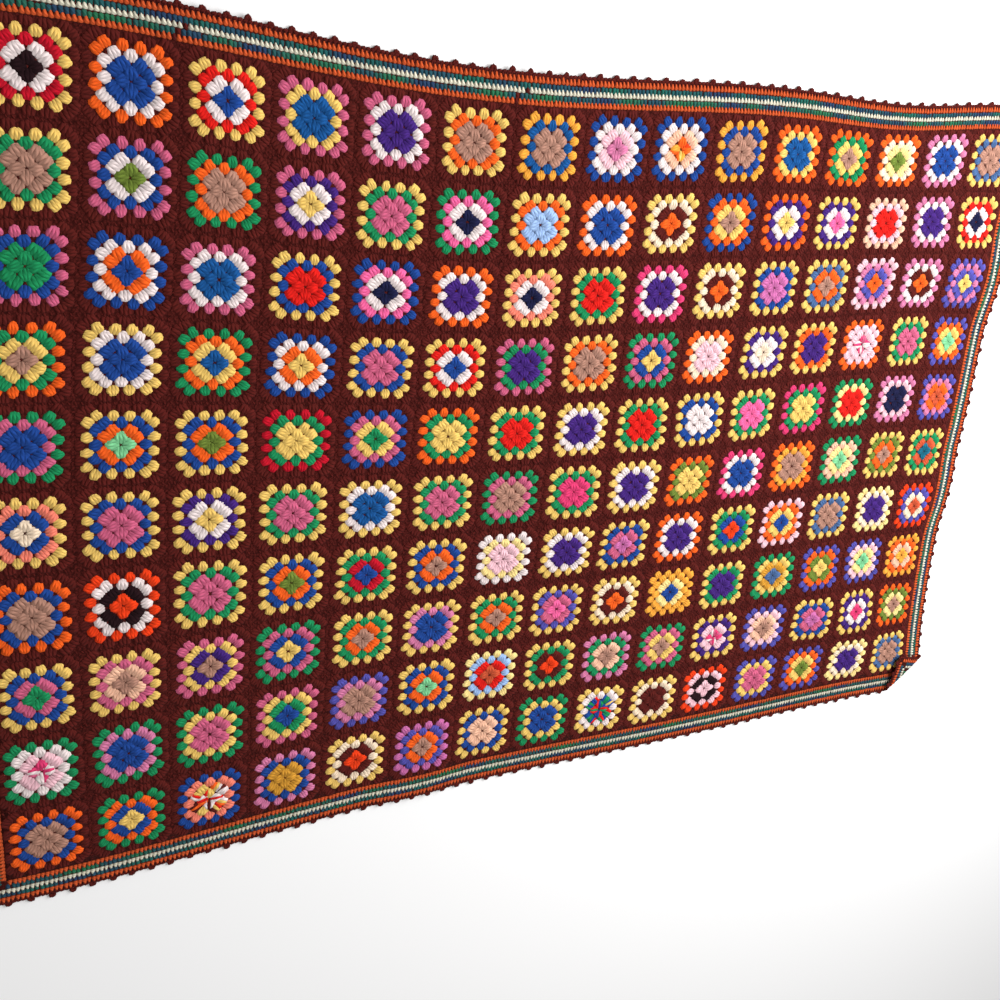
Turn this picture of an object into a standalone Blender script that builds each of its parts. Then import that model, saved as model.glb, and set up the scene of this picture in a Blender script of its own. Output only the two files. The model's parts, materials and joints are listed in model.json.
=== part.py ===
"""A crocheted granny square blanket, laid out loose and nearly flat, with one corner folded over.

Each piece is first made flat, as a slab on the blanket's own plan: u runs along the long side and v along
the short side, both from the middle of the cloth, and w is the height above the cloth's underside.
lay() then puts a point of the plan where it lies: the corner folds over, the edges are drawn out of
their straight lines, and low ripples lift the cloth off the surface. All pieces use the same rule, so
the gap between neighbours stays as wide as it is on the plan.
"""

import math
from collections import namedtuple

import bmesh
import bpy

COLLECTION_NAME = "granny_square_blanket"

# Driving dimensions, in metres.
SQUARE_SIDE = 0.110
COLUMNS = 15
ROWS = 10
BAND_WIDTH = 0.0375
EDGING_WIDTH = 0.0035
PICOT_HEIGHT = 0.0055
PICOT_BASE_SHARE = 0.34
THICKNESS = 0.004
GAP = 0.0003

# Picots on one long and one short side. The band has one cell for each.
PICOTS_LONG = 64
PICOTS_SHORT = 44
FIELD_CELLS_U = 34
FIELD_CELLS_V = 24

FIELD_HALF = (COLUMNS * SQUARE_SIDE / 2, ROWS * SQUARE_SIDE / 2)

# The corner folded over: how far from the corner its crease starts along the bottom edge and along the
# right edge, the free space inside the bend, how far the flap is turned, and the flat facets of the bend.
FOLD_ALONG_BOTTOM = 0.099
FOLD_ALONG_SIDE = 0.078
FOLD_INNER_RADIUS = 0.002
FOLD_TURN = math.radians(176.0)
FOLD_FACETS = 9

# Moves the laid cloth's box over the origin.
CENTRE_X = 0.00775
CENTRE_Y = -0.0031

# Where the yarn's uneven tension draws the cloth aside: a centre, how far the pull reaches, and the
# shift at its centre.
Pull = namedtuple("Pull", "x y reach shift_x shift_y")
PULLS = {
    "top left corner": Pull(-0.80, 0.50, 0.33, 0.018, 0.018),
    "top edge, left of the middle": Pull(-0.20, 0.55, 0.38, 0.000, -0.028),
    "top edge, right of the middle": Pull(0.30, 0.50, 0.35, 0.003, -0.002),
    "top edge, right": Pull(0.55, 0.60, 0.20, -0.005, -0.018),
    "top right corner": Pull(0.80, 0.50, 0.33, -0.011, 0.009),
    "left edge": Pull(-0.80, 0.00, 0.40, -0.013, 0.012),
    "middle": Pull(0.00, 0.00, 0.40, 0.003, -0.007),
    "right edge": Pull(0.80, 0.00, 0.40, 0.004, 0.015),
    "right edge, above the middle": Pull(0.90, 0.20, 0.19, -0.015, -0.007),
    "right edge, below the middle": Pull(0.90, -0.20, 0.22, -0.017, -0.004),
    "bottom left corner": Pull(-0.80, -0.50, 0.33, -0.003, -0.026),
    "bottom edge": Pull(-0.10, -0.45, 0.40, -0.004, 0.014),
    "bottom edge, right": Pull(0.65, -0.55, 0.35, 0.024, 0.009),
    "bottom right corner": Pull(0.86, -0.61, 0.13, 0.027, -0.005),
}

# Low swells that stand up from the surface: a centre, the turn of the crest from +X in degrees, half the
# crest's length, half the swell's width, and its height. Past them the cloth lies flat.
Ripple = namedtuple("Ripple", "x y turn half_length half_width height")
RIPPLES = {
    "from the top edge, left": Ripple(-0.57, 0.52, 84.0, 0.26, 0.095, 0.007),
    "from the top edge, middle": Ripple(-0.13, 0.50, 98.0, 0.28, 0.105, 0.007),
    "across the middle": Ripple(0.12, -0.06, 32.0, 0.34, 0.120, 0.008),
    "in from the right edge": Ripple(0.78, 0.30, -14.0, 0.28, 0.100, 0.009),
    "right edge, lower": Ripple(0.80, -0.14, 16.0, 0.24, 0.095, 0.007),
    "towards the folded corner": Ripple(0.66, -0.40, -38.0, 0.26, 0.095, 0.008),
    "left side": Ripple(-0.68, -0.24, 12.0, 0.30, 0.120, 0.006),
    "from the bottom edge": Ripple(-0.22, -0.52, 82.0, 0.22, 0.100, 0.006),
}

Finish = namedtuple("Finish", "colour roughness")
FINISHES = {
    "field": Finish((0.075, 0.016, 0.018), 0.95),
    "border_band": Finish((0.55, 0.13, 0.04), 0.95),
    "picot_edging": Finish((0.075, 0.016, 0.018), 0.95),
}


def clear_scene():
    for thing in list(bpy.data.objects):
        bpy.data.objects.remove(thing, do_unlink=True)


def make_collection(name):
    collection = bpy.data.collections.new(name)
    bpy.context.scene.collection.children.link(collection)
    return collection


def make_material(name, finish):
    material = bpy.data.materials.new(name)
    material.use_nodes = True
    shader = material.node_tree.nodes["Principled BSDF"]
    shader.inputs["Base Color"].default_value = (*finish.colour, 1.0)
    shader.inputs["Roughness"].default_value = finish.roughness
    shader.inputs["Metallic"].default_value = 0.0
    return material


def ring_half(distance):
    """Half the width and half the depth of the rectangle that lies distance outside the field."""
    return FIELD_HALF[0] + distance, FIELD_HALF[1] + distance


def crease():
    """A point on the fold's crease on the plan, and the unit direction from it towards the folded corner."""
    half_u, half_v = ring_half(BAND_WIDTH + EDGING_WIDTH)
    length = math.hypot(FOLD_ALONG_BOTTOM, FOLD_ALONG_SIDE)
    towards = (FOLD_ALONG_SIDE / length, -FOLD_ALONG_BOTTOM / length)
    return (half_u - FOLD_ALONG_BOTTOM, -half_v), towards


def bend_radius():
    """The bend's radius half way through the cloth."""
    return FOLD_INNER_RADIUS + THICKNESS / 2


def fold_over(u, v, w):
    """Rolls what lies past the crease up and back over the cloth."""
    start, towards = crease()
    past = (u - start[0]) * towards[0] + (v - start[1]) * towards[1]
    if past <= 0.0:
        return u, v, w
    turn = min(past / bend_radius(), FOLD_TURN)
    straight = past - bend_radius() * turn
    axis_height = THICKNESS + FOLD_INNER_RADIUS
    radius = axis_height - w
    reach = radius * math.sin(turn) + straight * math.cos(turn)
    height = axis_height - radius * math.cos(turn) + straight * math.sin(turn)
    return u + (reach - past) * towards[0], v + (reach - past) * towards[1], height


def pull_aside(x, y):
    """Where the uneven tension takes a point of the straight cloth."""
    shift_x = 0.0
    shift_y = 0.0
    for pull in PULLS.values():
        near = math.exp(-((x - pull.x) ** 2 + (y - pull.y) ** 2) / pull.reach**2)
        shift_x += pull.shift_x * near
        shift_y += pull.shift_y * near
    return x + shift_x, y + shift_y


def ripple_height(x, y):
    """How far the cloth's underside stands above the surface."""
    highest = 0.0
    for ripple in RIPPLES.values():
        turn = math.radians(ripple.turn)
        along = (x - ripple.x) * math.cos(turn) + (y - ripple.y) * math.sin(turn)
        across = (y - ripple.y) * math.cos(turn) - (x - ripple.x) * math.sin(turn)
        away = (along / ripple.half_length) ** 2 + (across / ripple.half_width) ** 2
        if away < 1.0:
            highest = max(highest, ripple.height * (1.0 - away) ** 2)
    return highest


def lay(u, v, w):
    """Takes a point of the plan to its place on the laid blanket."""
    u, v, w = fold_over(u, v, w)
    x, y = pull_aside(u, v)
    return x - CENTRE_X, y - CENTRE_Y, w + ripple_height(x, y)


def flat_grid(bm, cells_u, cells_v):
    """A flat grid of cells from 0 to 1 both ways. Returns its vertices."""
    made = bmesh.ops.create_grid(bm, x_segments=cells_u, y_segments=cells_v, size=0.5)
    bmesh.ops.translate(bm, verts=made["verts"], vec=(0.5, 0.5, 0.0))
    return made["verts"]


def thicken(bm):
    """Makes the flat plan a slab of the cloth's thickness."""
    made = bmesh.ops.extrude_face_region(bm, geom=bm.faces[:], use_keep_orig=True)
    top = [item for item in made["geom"] if isinstance(item, bmesh.types.BMVert)]
    bmesh.ops.translate(bm, verts=top, vec=(0.0, 0.0, THICKNESS))
    bmesh.ops.recalc_face_normals(bm, faces=bm.faces[:])


def cut_for_the_bend(bm):
    """Cuts the slab along the crease and along lines beside it, so that the bend is rolled in even facets."""
    start, towards = crease()
    for step in range(FOLD_FACETS + 1):
        past = bend_radius() * FOLD_TURN * step / FOLD_FACETS
        bmesh.ops.bisect_plane(
            bm,
            geom=bm.verts[:] + bm.edges[:] + bm.faces[:],
            dist=1e-6,
            plane_co=(start[0] + past * towards[0], start[1] + past * towards[1], 0.0),
            plane_no=(towards[0], towards[1], 0.0),
        )


def finish_piece(name, bm, collection):
    """Lays the slab's points and makes it a named object with its own material.

    Every face is split along its shorter diagonal, so that two pieces' twisted walls match in the bend.
    """
    for vert in bm.verts:
        vert.co = lay(*vert.co)
    bmesh.ops.triangulate(bm, faces=bm.faces[:], quad_method="SHORT_EDGE")
    mesh = bpy.data.meshes.new(name)
    bm.to_mesh(mesh)
    bm.free()
    mesh.materials.append(make_material(name, FINISHES[name]))
    collection.objects.link(bpy.data.objects.new(name, mesh))


def side_to_ring(share, across, turned, inner, outer):
    """A point on the ring between two rectangles.

    share runs from 0 to 1 along the side and across from 0 on the inner rectangle to 1 on the outer one.
    turned is the quarter turns from the bottom side, anticlockwise.
    """
    half_u = inner[0] + (outer[0] - inner[0]) * across
    half_v = inner[1] + (outer[1] - inner[1]) * across
    corners = [(-half_u, -half_v), (half_u, -half_v), (half_u, half_v), (-half_u, half_v)]
    start = corners[turned]
    end = corners[(turned + 1) % 4]
    return start[0] + (end[0] - start[0]) * share, start[1] + (end[1] - start[1]) * share


def build_field(collection):
    """The joined squares."""
    bm = bmesh.new()
    for vert in flat_grid(bm, FIELD_CELLS_U, FIELD_CELLS_V):
        vert.co.x = (2.0 * vert.co.x - 1.0) * FIELD_HALF[0]
        vert.co.y = (2.0 * vert.co.y - 1.0) * FIELD_HALF[1]
    thicken(bm)
    cut_for_the_bend(bm)
    finish_piece("field", bm, collection)


def build_border_band(collection):
    """The striped rounds, mitred at the corners."""
    bm = bmesh.new()
    inner = ring_half(GAP)
    outer = ring_half(BAND_WIDTH)
    for turned in range(4):
        picots = PICOTS_SHORT if turned % 2 else PICOTS_LONG
        for vert in flat_grid(bm, picots, 1):
            vert.co.x, vert.co.y = side_to_ring(vert.co.x, vert.co.y, turned, inner, outer)
    bmesh.ops.remove_doubles(bm, verts=bm.verts[:], dist=1e-5)
    thicken(bm)
    cut_for_the_bend(bm)
    finish_piece("border_band", bm, collection)


def picot_share(station):
    """Share of one picot's stretch at each third point: before the point, at it and after it."""
    return (0.5 - PICOT_BASE_SHARE / 2, 0.5, 0.5 + PICOT_BASE_SHARE / 2)[station]


def build_picot_edging(collection):
    """The last round, with a small point in the middle of each stretch."""
    bm = bmesh.new()
    inner = ring_half(BAND_WIDTH + GAP)
    outer = ring_half(BAND_WIDTH + EDGING_WIDTH)
    point_across = 1.0 + PICOT_HEIGHT / (outer[0] - inner[0])
    for turned in range(4):
        picots = PICOTS_SHORT if turned % 2 else PICOTS_LONG
        cells = 3 * picots + 1
        inner_points = []
        for vert in flat_grid(bm, cells, 1):
            column = round(vert.co.x * cells)
            on_edge = vert.co.y > 0.5
            picot, station = divmod(column - 1, 3)
            if column == 0:
                share = 0.0
            elif column == cells:
                share = 1.0
            else:
                share = (picot + picot_share(station)) / picots
            is_point = 0 < column < cells and station == 1
            across = vert.co.y
            if is_point and on_edge:
                across = point_across
            if 0 < column < cells and station > 0 and not on_edge:
                inner_points.append(vert)
            vert.co.x, vert.co.y = side_to_ring(share, across, turned, inner, outer)
        bmesh.ops.dissolve_verts(bm, verts=inner_points)
    bmesh.ops.remove_doubles(bm, verts=bm.verts[:], dist=1e-5)
    thicken(bm)
    cut_for_the_bend(bm)
    finish_piece("picot_edging", bm, collection)


def main():
    clear_scene()
    collection = make_collection(COLLECTION_NAME)
    build_field(collection)
    build_border_band(collection)
    build_picot_edging(collection)


main()
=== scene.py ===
"""A crocheted granny square blanket, laid out loose and nearly flat, with one corner folded over.

Every piece is first placed on the blanket's own plan: u runs along the long side and v along the short
side, both from the middle of the cloth, and w is the height above the cloth's underside. lay() then puts
a point of the plan where it lies. A stitch is modelled once, as one strand of yarn, and copied along the
rounds of the squares and of the border.
"""

import json
import math
from collections import namedtuple

import bmesh
import bpy
import numpy as np
from bpy.props import FloatProperty, FloatVectorProperty, IntProperty, PointerProperty
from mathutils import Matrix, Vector

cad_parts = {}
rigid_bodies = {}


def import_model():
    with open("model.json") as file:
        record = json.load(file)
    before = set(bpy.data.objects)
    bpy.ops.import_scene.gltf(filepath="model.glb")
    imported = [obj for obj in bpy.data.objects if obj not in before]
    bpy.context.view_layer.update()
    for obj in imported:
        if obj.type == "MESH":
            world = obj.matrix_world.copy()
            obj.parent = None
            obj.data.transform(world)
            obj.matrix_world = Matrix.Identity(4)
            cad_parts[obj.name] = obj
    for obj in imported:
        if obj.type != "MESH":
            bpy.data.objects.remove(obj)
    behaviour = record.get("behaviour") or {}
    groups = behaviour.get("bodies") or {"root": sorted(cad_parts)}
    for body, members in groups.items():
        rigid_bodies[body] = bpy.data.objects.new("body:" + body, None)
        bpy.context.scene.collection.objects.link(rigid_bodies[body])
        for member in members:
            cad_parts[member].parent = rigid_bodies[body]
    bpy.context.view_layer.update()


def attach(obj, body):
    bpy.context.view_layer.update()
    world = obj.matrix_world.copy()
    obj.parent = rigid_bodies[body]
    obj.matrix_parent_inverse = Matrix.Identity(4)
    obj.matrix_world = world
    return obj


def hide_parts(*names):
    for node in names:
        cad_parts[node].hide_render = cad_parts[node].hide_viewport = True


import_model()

bl_info = {
    "name": "Granny Square Blanket",
    "version": (1, 0, 0),
    "blender": (4, 5, 0),
    "location": "View3D > Sidebar > Blanket",
    "description": "Crochets a granny square blanket, stitch by stitch, where it lies",
    "category": "Object",
}

BODY = "root"

# The plan, in metres.
SQUARE_SIDE = 0.110
COLUMNS = 15
ROWS = 10
BAND_WIDTH = 0.0375
EDGING_WIDTH = 0.0035
GROUND_GAP = 0.0001  # between the field's ground and the border's
BORDER_GROUND_WIDTH = 0.0400
THICKNESS = 0.004
FIELD_HALF = (COLUMNS * SQUARE_SIDE / 2, ROWS * SQUARE_SIDE / 2)

# The corner folded over: how far from the corner its crease starts along the bottom edge and along the
# right edge, the free space inside the bend, how far the flap is turned, and the flat facets of the bend.
FOLD_ALONG_BOTTOM = 0.099
FOLD_ALONG_SIDE = 0.078
FOLD_INNER_RADIUS = 0.002
FOLD_TURN = math.radians(176.0)
FOLD_FACETS = 9

# Moves the laid cloth's box over the origin.
CENTRE_X = 0.00775
CENTRE_Y = -0.0031

# Where the yarn's uneven tension draws the cloth aside: a centre, how far the pull reaches, and the
# shift at its centre.
Pull = namedtuple("Pull", "x y reach shift_x shift_y")
PULLS = {
    "top left corner": Pull(-0.80, 0.50, 0.33, 0.018, 0.018),
    "top edge, left of the middle": Pull(-0.20, 0.55, 0.38, 0.000, -0.028),
    "top edge, right of the middle": Pull(0.30, 0.50, 0.35, 0.003, -0.002),
    "top edge, right": Pull(0.55, 0.60, 0.20, -0.005, -0.018),
    "top right corner": Pull(0.80, 0.50, 0.33, -0.011, 0.009),
    "left edge": Pull(-0.80, 0.00, 0.40, -0.013, 0.012),
    "middle": Pull(0.00, 0.00, 0.40, 0.003, -0.007),
    "right edge": Pull(0.80, 0.00, 0.40, 0.004, 0.015),
    "right edge, above the middle": Pull(0.90, 0.20, 0.19, -0.015, -0.007),
    "right edge, below the middle": Pull(0.90, -0.20, 0.22, -0.017, -0.004),
    "bottom left corner": Pull(-0.80, -0.50, 0.33, -0.003, -0.026),
    "bottom edge": Pull(-0.10, -0.45, 0.40, -0.004, 0.014),
    "bottom edge, right": Pull(0.65, -0.55, 0.35, 0.024, 0.009),
    "bottom right corner": Pull(0.86, -0.61, 0.13, 0.027, -0.005),
}

# Low swells that stand up from the surface: a centre, the turn of the crest from +X in degrees, half the
# crest's length, half the swell's width, and its height. Past them the cloth lies flat.
Ripple = namedtuple("Ripple", "x y turn half_length half_width height")
RIPPLES = {
    "from the top edge, left": Ripple(-0.57, 0.52, 84.0, 0.26, 0.095, 0.007),
    "from the top edge, middle": Ripple(-0.13, 0.50, 98.0, 0.28, 0.105, 0.007),
    "across the middle": Ripple(0.12, -0.06, 32.0, 0.34, 0.120, 0.008),
    "in from the right edge": Ripple(0.78, 0.30, -14.0, 0.28, 0.100, 0.009),
    "right edge, lower": Ripple(0.80, -0.14, 16.0, 0.24, 0.095, 0.007),
    "towards the folded corner": Ripple(0.66, -0.40, -38.0, 0.26, 0.095, 0.008),
    "left side": Ripple(-0.68, -0.24, 12.0, 0.30, 0.120, 0.006),
    "from the bottom edge": Ripple(-0.22, -0.52, 82.0, 0.22, 0.100, 0.006),
}

# The rounds of a square: the clusters' places along one side and their distance from the middle, both in
# cluster spacings, and how wide and how long the cluster is drawn.
SquareRound = namedtuple("SquareRound", "places depth width length")
SQUARE_ROUNDS = (
    SquareRound((0.0,), 0.47, 1.16, 1.12),
    SquareRound((-0.5, 0.5), 0.95, 1.20, 1.12),
    SquareRound((-0.97, 0.0, 0.97), 1.47, 1.08, 1.01),
    SquareRound((-1.49, -0.5, 0.5, 1.49), 1.97, 0.97, 0.98),
    SquareRound((-2.0, -1.0, 0.0, 1.0, 2.0), 2.43, 1.26, 1.00),
)
CORNER_TURN = math.radians(30.0)
LAST_ROUND = len(SQUARE_ROUNDS) - 1

# The yarns of rounds one to four of each square, from the left. The fifth round is always brown.
CHART = (
    "black white crimson yellow, blue blue white orange, blue white red yellow,"
    " midblue midblue yellow rose, purple purple white rose, tan tan orange yellow,"
    " tan tan midblue gold, mauve palepink white blue, sunset peach white blue, tan tan blue gold,"
    " midblue midblue yellow orange, tan yellow green orange, olive lemon cream orange,"
    " blue blue white mauve, tan tan steel yellow",
    "tan tan green yellow, olive white blue rose, tan tan orange green, yellow white purple rose,"
    " rose rose green yellow, navy white hotpink green, sky sky orange yellow, blue blue white orange,"
    " orange brown cream yellow, tan yellow orange blue, yellow white purple orange,"
    " hotpink white purple yellow, red red palepink peach, purple purple white mauve,"
    " navy white red yellow",
    "green green blue rose, blue orange white blue, midblue midblue white rose, red red blue yellow,"
    " navy white hotpink blue, purple purple white orange, navy white coral yellow,"
    " red red green yellow, purple purple white deeppink, orange brown cream yellow,"
    " orchid orchid blue yellow, tan orange steel yellow, orange violet mauve palepink,"
    " orange brown white mauve, yellow violet mauve violet",
    "tan yellow green orange, blue blue white yellow, midblue yellow orange green,"
    " yellow orange white blue, rose rose blue yellow, blue white red yellow, purple purple green rose,"
    " tan tan orange yellow, yellow blue rose green, palepink palepink cream orange,"
    " cream white purple yellow, purple purple orange yellow, candy palepink palepink orange,"
    " rose rose green yellow, mint yellow orange violet",
    "blue blue rose green, mint orange blue yellow, olive orange blue yellow,"
    " yellow yellow green crimson, green yellow rose blue, yellow yellow green orange,"
    " red red green yellow, purple purple white yellow, red red green yellow, white white blue yellow,"
    " hotpink hotpink green yellow, yellow yellow green deeppink, red red lemon green,"
    " navy navy palepink mauve, rust orange mauve violet",
    "cream blue coral yellow, rose rose blue yellow, yellow white purple yellow,"
    " rose rose green yellow, midblue midblue white yellow, rose rose green yellow, tan tan rose green,"
    " deeppink deeppink green yellow, purple purple white yellow, yellow yellow olive orange,"
    " blue blue white deeppink, tan tan gold orange, mint lemon peach green, tan orange olive yellow,"
    " teal rust green yellow",
    "tan tan blue orange, vermilion black white vermilion, rose rose green yellow,"
    " olive orange blue yellow, blue crimson green yellow, tan orange blue yellow,"
    " palepink palepink lemon white, purple purple white yellow, orchid rose blue yellow,"
    " purple purple white orange, vermilion blue green yellow, blue yellow orange palepink,"
    " tan tan steel yellow, purple purple cream lemon, rust cream violet vermilion",
    "green rose blue yellow, tan peach rose yellow, tan purple yellow rose, yellow blue rose green,"
    " tan orange green yellow, blue blue mauve yellow, tan orange green yellow,"
    " hotpink rose violet yellow, orange brown cream yellow, blue lemon gold gold,"
    " purple purple green yellow, steel mustard yellow green, yellow olive orange violet,"
    " mint lemon palepink violet, gold peach orange gold",
    "candy palepink white green, blue blue mauve green, rose rose yellow green, blue green yellow rose,"
    " tan tan mauve violet, mint orange blue yellow, rust red sky lemon, vermilion brown green yellow,"
    " tan peach green mauve, tan yellow rose green, candy palepink purple yellow,"
    " tan peach palepink violet, orchid rose blue yellow, deeppink white purple yellow,"
    " tan lemon olive orange",
    "tan tan blue orange, yellow blue orange green, confetti confetti coral blue,"
    " mustard mustard blue mauve, vermilion brown cream yellow, tan orange violet orchid,"
    " peach peach blue yellow, blue blue yellow green, meadow meadow white yellow,"
    " brown brown cream yellow, palepink black palepink vermilion, rose rose yellow violet,"
    " olive yellow orange violet, purple purple cream lemon, tan tan steel yellow",
)

# The plain yarns. Their colours are as the eye reads them, from 0 to 255.
YARNS = {
    "brown": (90, 30, 26),  # last round of every square, the joins and the edging
    "black": (38, 20, 24),
    "navy": (30, 32, 66),
    "blue": (34, 72, 148),
    "midblue": (28, 86, 150),
    "steel": (76, 106, 152),
    "sky": (160, 190, 234),
    "violet": (86, 82, 168),
    "purple": (70, 40, 122),
    "teal": (30, 104, 128),
    "green": (32, 142, 88),
    "mint": (130, 208, 150),
    "olive": (112, 132, 54),
    "lemon": (250, 222, 146),
    "cream": (248, 224, 196),
    "yellow": (240, 200, 108),
    "gold": (246, 170, 66),
    "mustard": (212, 152, 54),
    "orange": (248, 100, 34),
    "vermilion": (240, 66, 26),
    "rust": (206, 88, 56),
    "red": (226, 34, 28),
    "crimson": (198, 24, 44),
    "deeppink": (226, 64, 116),
    "hotpink": (244, 104, 160),
    "rose": (208, 98, 132),
    "orchid": (202, 110, 168),
    "mauve": (214, 124, 164),
    "coral": (248, 134, 112),
    "peach": (244, 190, 160),
    "palepink": (246, 196, 206),
    "tan": (178, 132, 114),
    "white": (240, 224, 222),
    "border_orange": (214, 92, 48),  # the orange rounds
    "border_cream": (228, 222, 200),  # the middle round
    "sea_green": (46, 112, 78),  # the inner changing yarn, to sea blue
    "sea_teal": (36, 100, 88),  # the outer changing yarn, to sea blue
    "sea_blue": (44, 66, 98),
}

# Yarns that change colour along their length, as the plain yarns they pass through.
CHANGING_YARNS = {
    "sunset": ("orange", "yellow", "vermilion", "gold"),
    "confetti": ("red", "orange", "yellow", "white", "brown"),
    "meadow": ("yellow", "green", "blue", "red"),
    "candy": ("deeppink", "rose", "white", "deeppink"),
}

# The rounds of the border, outwards from the field: where the round's stitches start and end, its yarns,
# how wide they are drawn, and whether they narrow to teeth. Each round is worked into the one before.
BorderRound = namedtuple("BorderRound", "name start end yarns width teeth")
BORDER_ROUNDS = (
    BorderRound("inner_orange_round", -0.0010, 0.0084, ("border_orange",), 1.00, True),
    BorderRound("inner_green_round", 0.0040, 0.0158, ("sea_green", "sea_blue"), 1.16, False),
    BorderRound("cream_round", 0.0141, 0.0228, ("border_cream",), 1.00, True),
    BorderRound("outer_green_round", 0.0176, 0.0296, ("sea_teal", "sea_blue"), 1.16, False),
    BorderRound("outer_orange_round", 0.0276, 0.0374, ("border_orange",), 1.00, True),
)
POST_LEAN = math.radians(-5.0)
PICOTS = (64, 44)  # on a long side and on a short side

# Where the border's inner rounds were closed on the top side, as brown stitches across them: the places
# along the side, and how far out the stitches reach.
ROUND_JOINS = (-0.612, -0.166)
ROUND_JOIN_END = 0.0230
ROUND_JOIN_HALF_WIDTH = 0.0031

# The wavelengths of the drift in the border's changing yarns, along the round, and its strength.
DRIFT_LENGTHS = (0.071, 0.113, 0.260)
DRIFT_STRENGTH = 0.26

# The small slanted stitches that join the squares.
JOIN_STITCHES = 15  # along one side of a square
JOIN_STITCH_LENGTH = 0.0070
JOIN_SLANT = math.radians(58.0)

# The brown last round: how far outside the band each part of it starts, and the length and width of its
# strands. The chain lies along the edge; the others stand outwards from it.
EdgingPart = namedtuple("EdgingPart", "start length width")
EDGING_POST = EdgingPart(-0.0050, 0.0082, 1.3)
EDGING_CHAIN = EdgingPart(0.0017, 0.0092, 0.9)
EDGING_PICOT = EdgingPart(0.0012, 0.0078, 1.0)
CHAIN_TURN = math.radians(84.0)
PICOT_SIDE = 0.0046  # from a picot's middle strand to the feet of its side strands
PICOT_LEAN = 0.62  # how far the side strands lean in to the picot's top, in radians
OUTWARD = (math.pi, math.pi / 2, 0.0, -math.pi / 2)  # from each side, clockwise from +v

# One strand of yarn, from its root to its tip: the share of its length, and there its half width, its
# half height and how far it is lifted, in metres.
Ring = namedtuple("Ring", "along half_width half_height lift")
CLUSTER_STRAND = (
    Ring(0.00, 0.0000, 0.0000, -0.0006),
    Ring(0.16, 0.0031, 0.0019, -0.0003),
    Ring(0.55, 0.0034, 0.0024, 0.0001),
    Ring(0.91, 0.0031, 0.0020, 0.0001),
    Ring(1.00, 0.0000, 0.0000, -0.0003),
)
SIMPLE_STRAND = (
    Ring(0.00, 0.0000, 0.0000, -0.0004),
    Ring(0.28, 0.0023, 0.0016, 0.0000),
    Ring(0.76, 0.0028, 0.0020, 0.0001),
    Ring(1.00, 0.0000, 0.0000, -0.0002),
)
TOOTH = (
    Ring(0.00, 0.0000, 0.0000, -0.0003),
    Ring(0.14, 0.0038, 0.0017, 0.0000),
    Ring(0.46, 0.0029, 0.0019, 0.0001),
    Ring(0.90, 0.0014, 0.0016, 0.0003),
    Ring(1.00, 0.0000, 0.0000, 0.0002),
)
SMALL_STITCH = (
    Ring(0.00, 0.0000, 0.0000, -0.0002),
    Ring(0.28, 0.0015, 0.0018, 0.0000),
    Ring(0.72, 0.0015, 0.0018, 0.0000),
    Ring(1.00, 0.0000, 0.0000, -0.0002),
)

# How far a cluster's outer strands lie from its middle one: the shares of the length, and there the
# distance in metres. The strands bulge above the foot and are gathered at the top.
STRAND_SPREAD = ((0.0, 0.28, 0.60, 0.91, 1.0), (0.0025, 0.0042, 0.0040, 0.0023, 0.0018))

# How uneven the work is, as standard deviations: lengths in metres, turns in radians, the rest as shares.
Uneven = namedtuple("Uneven", "foot turn size shade")
UNEVEN_SQUARE = Uneven(0.0006, 0.02, 0.012, 0.0)
UNEVEN_CLUSTER = Uneven(0.0004, 0.07, 0.04, 0.05)
UNEVEN_JOIN = Uneven(0.0003, 0.12, 0.06, 0.07)
UNEVEN_ROUND = Uneven(0.0002, 0.05, 0.05, 0.06)
UNEVEN_PICOT = Uneven(0.0006, 0.10, 0.05, 0.06)
UNEVEN_STRAND_WIDTH = 0.05
UNEVEN_STRAND_REACH = 0.025
UNEVEN_DRIFT = 0.06

# A cluster's outer strands are shorter than its middle one, by this share, and its middle one lies higher.
OUTER_STRAND_REACH = 0.97
MIDDLE_STRAND_RISE = 0.0002

# A strand's colour as a share of its yarn's own, darkened towards its root as painted shade where the
# stitch sinks
# into the cloth: at its root, for each kind of stitch, and further up, at the stations that follow the
# root.
PAINTED_ROOT_SHADES = {"cluster": 0.55, "border": 0.5, "plain": 0.8}
PAINTED_SHADE_STATIONS = (0.0, 0.35, 0.8)
PAINTED_SHADE_ABOVE_ROOT = (0.9, 1.0)
BROWN_SHADE = 0.95  # of the joins and the edging
# The ground cloths' brown as a share of the yarn's own: darkened as painted shade for the shadowed holes
# between the stitches.
FIELD_GROUND_PAINTED_SHADE = 0.8
BORDER_GROUND_PAINTED_SHADE = 0.6

PLIES = 3  # twisted together in every yarn
STRAND_SIDES = 5
THIN_STRAND_SIDES = 4

# The strands' colours, with their painted root shade, are kept in this attribute.
COLOUR_LAYER = "yarn_colour"
STRAND_MAP = "strand"
BAKE_MAP = "OFBake"
CELL_MARGIN = 0.08

# Where each kind of stitch starts its own random draws.
SEED = 7
JOINS_SEED = SEED + 50
BORDER_SEED = SEED + 100
EDGING_SEED = SEED + 200

RING_GAP = 3.0  # between the rings of the ball while it is edited
NEAR = 0.01  # how near a vertex of the ball is to its ring
WELD = 1e-5  # joins the four sides of the border's ground

# The stage: the big soft light, the light from all round, the floor and the camera.

KEY_PLACE = (1.3, 0.8, 1.5)
KEY_TARGET = (0.1, 0.0, 0.0)
KEY_SIZE = 1.8
ROOM_COLOUR = (1.0, 0.99, 0.985, 1.0)
FLOOR_COLOUR = (0.96, 0.96, 0.96, 1.0)
FLOOR_HEIGHT = -0.0004
CAMERA_PLACE = (-0.7576, 0.5381, 1.2427)
CAMERA_TURNS = (-19.958, -24.269, 5.955)  # in degrees
CAMERA_LENS = 35.2
CAMERA_SHIFT = -0.1


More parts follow.
